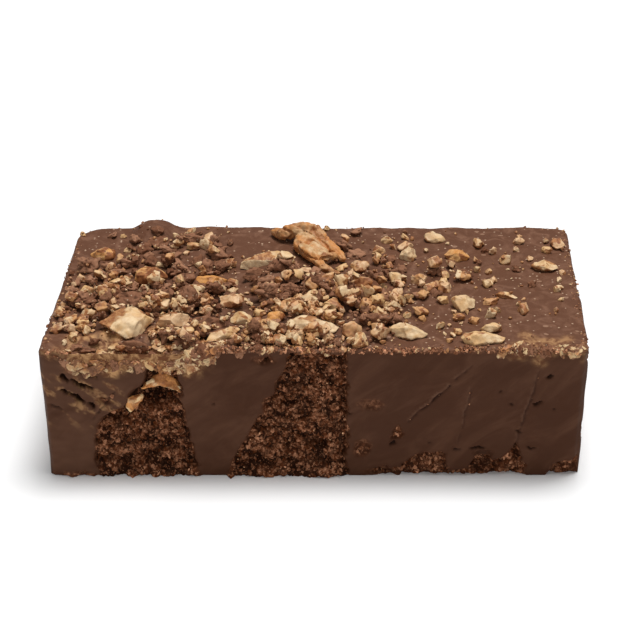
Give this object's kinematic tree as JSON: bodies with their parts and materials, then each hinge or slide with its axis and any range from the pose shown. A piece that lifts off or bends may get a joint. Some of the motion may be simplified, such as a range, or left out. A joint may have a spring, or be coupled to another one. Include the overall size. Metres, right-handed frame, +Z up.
{
  "type": "chocolate fudge bar",
  "caption": "Thick slice of chocolate fudge, with torn crumbly patches on its front cut and chopped walnuts and fudge crumbs pressed into its top.",
  "frame": {"origin": "centre of the bar's bounding box in plan, at the height of its flat base", "axes": "+X along the bar, to the right as seen from its torn front cut; +Y to the back; +Z up, square to the base"},
  "size_m": [0.1136, 0.0594, 0.0352],
  "materials": {
    "chocolate_fudge": "dull to satin chocolate fudge, with a faint sheen where the knife passed",
    "walnut_flesh": "matt cream walnut flesh",
    "toasted_walnut": "matt to satin toasted walnut with tan skin"
  },
  "bodies": {
    "root": {"fudge_bar": "chocolate_fudge", "toast_back_left": "toasted_walnut", "toast_long": "toasted_walnut", "toast_middle": "toasted_walnut", "toast_right": "toasted_walnut", "walnut_back_right": "walnut_flesh", "walnut_flake": "walnut_flesh", "walnut_front_edge": "walnut_flesh", "walnut_front_left": "walnut_flesh", "walnut_front_right": "walnut_flesh", "walnut_inner": "toasted_walnut", "walnut_kernel": "toasted_walnut", "walnut_knob": "toasted_walnut", "walnut_left": "toasted_walnut", "walnut_left_low": "toasted_walnut", "walnut_long_back": "walnut_flesh", "walnut_long_middle": "walnut_flesh", "walnut_low_right": "walnut_flesh", "walnut_over_hollow": "walnut_flesh", "walnut_pyramid": "walnut_flesh", "walnut_right": "walnut_flesh", "walnut_round": "toasted_walnut", "walnut_strip": "walnut_flesh", "walnut_tip": "walnut_flesh"}
  },
  "joints": []
}
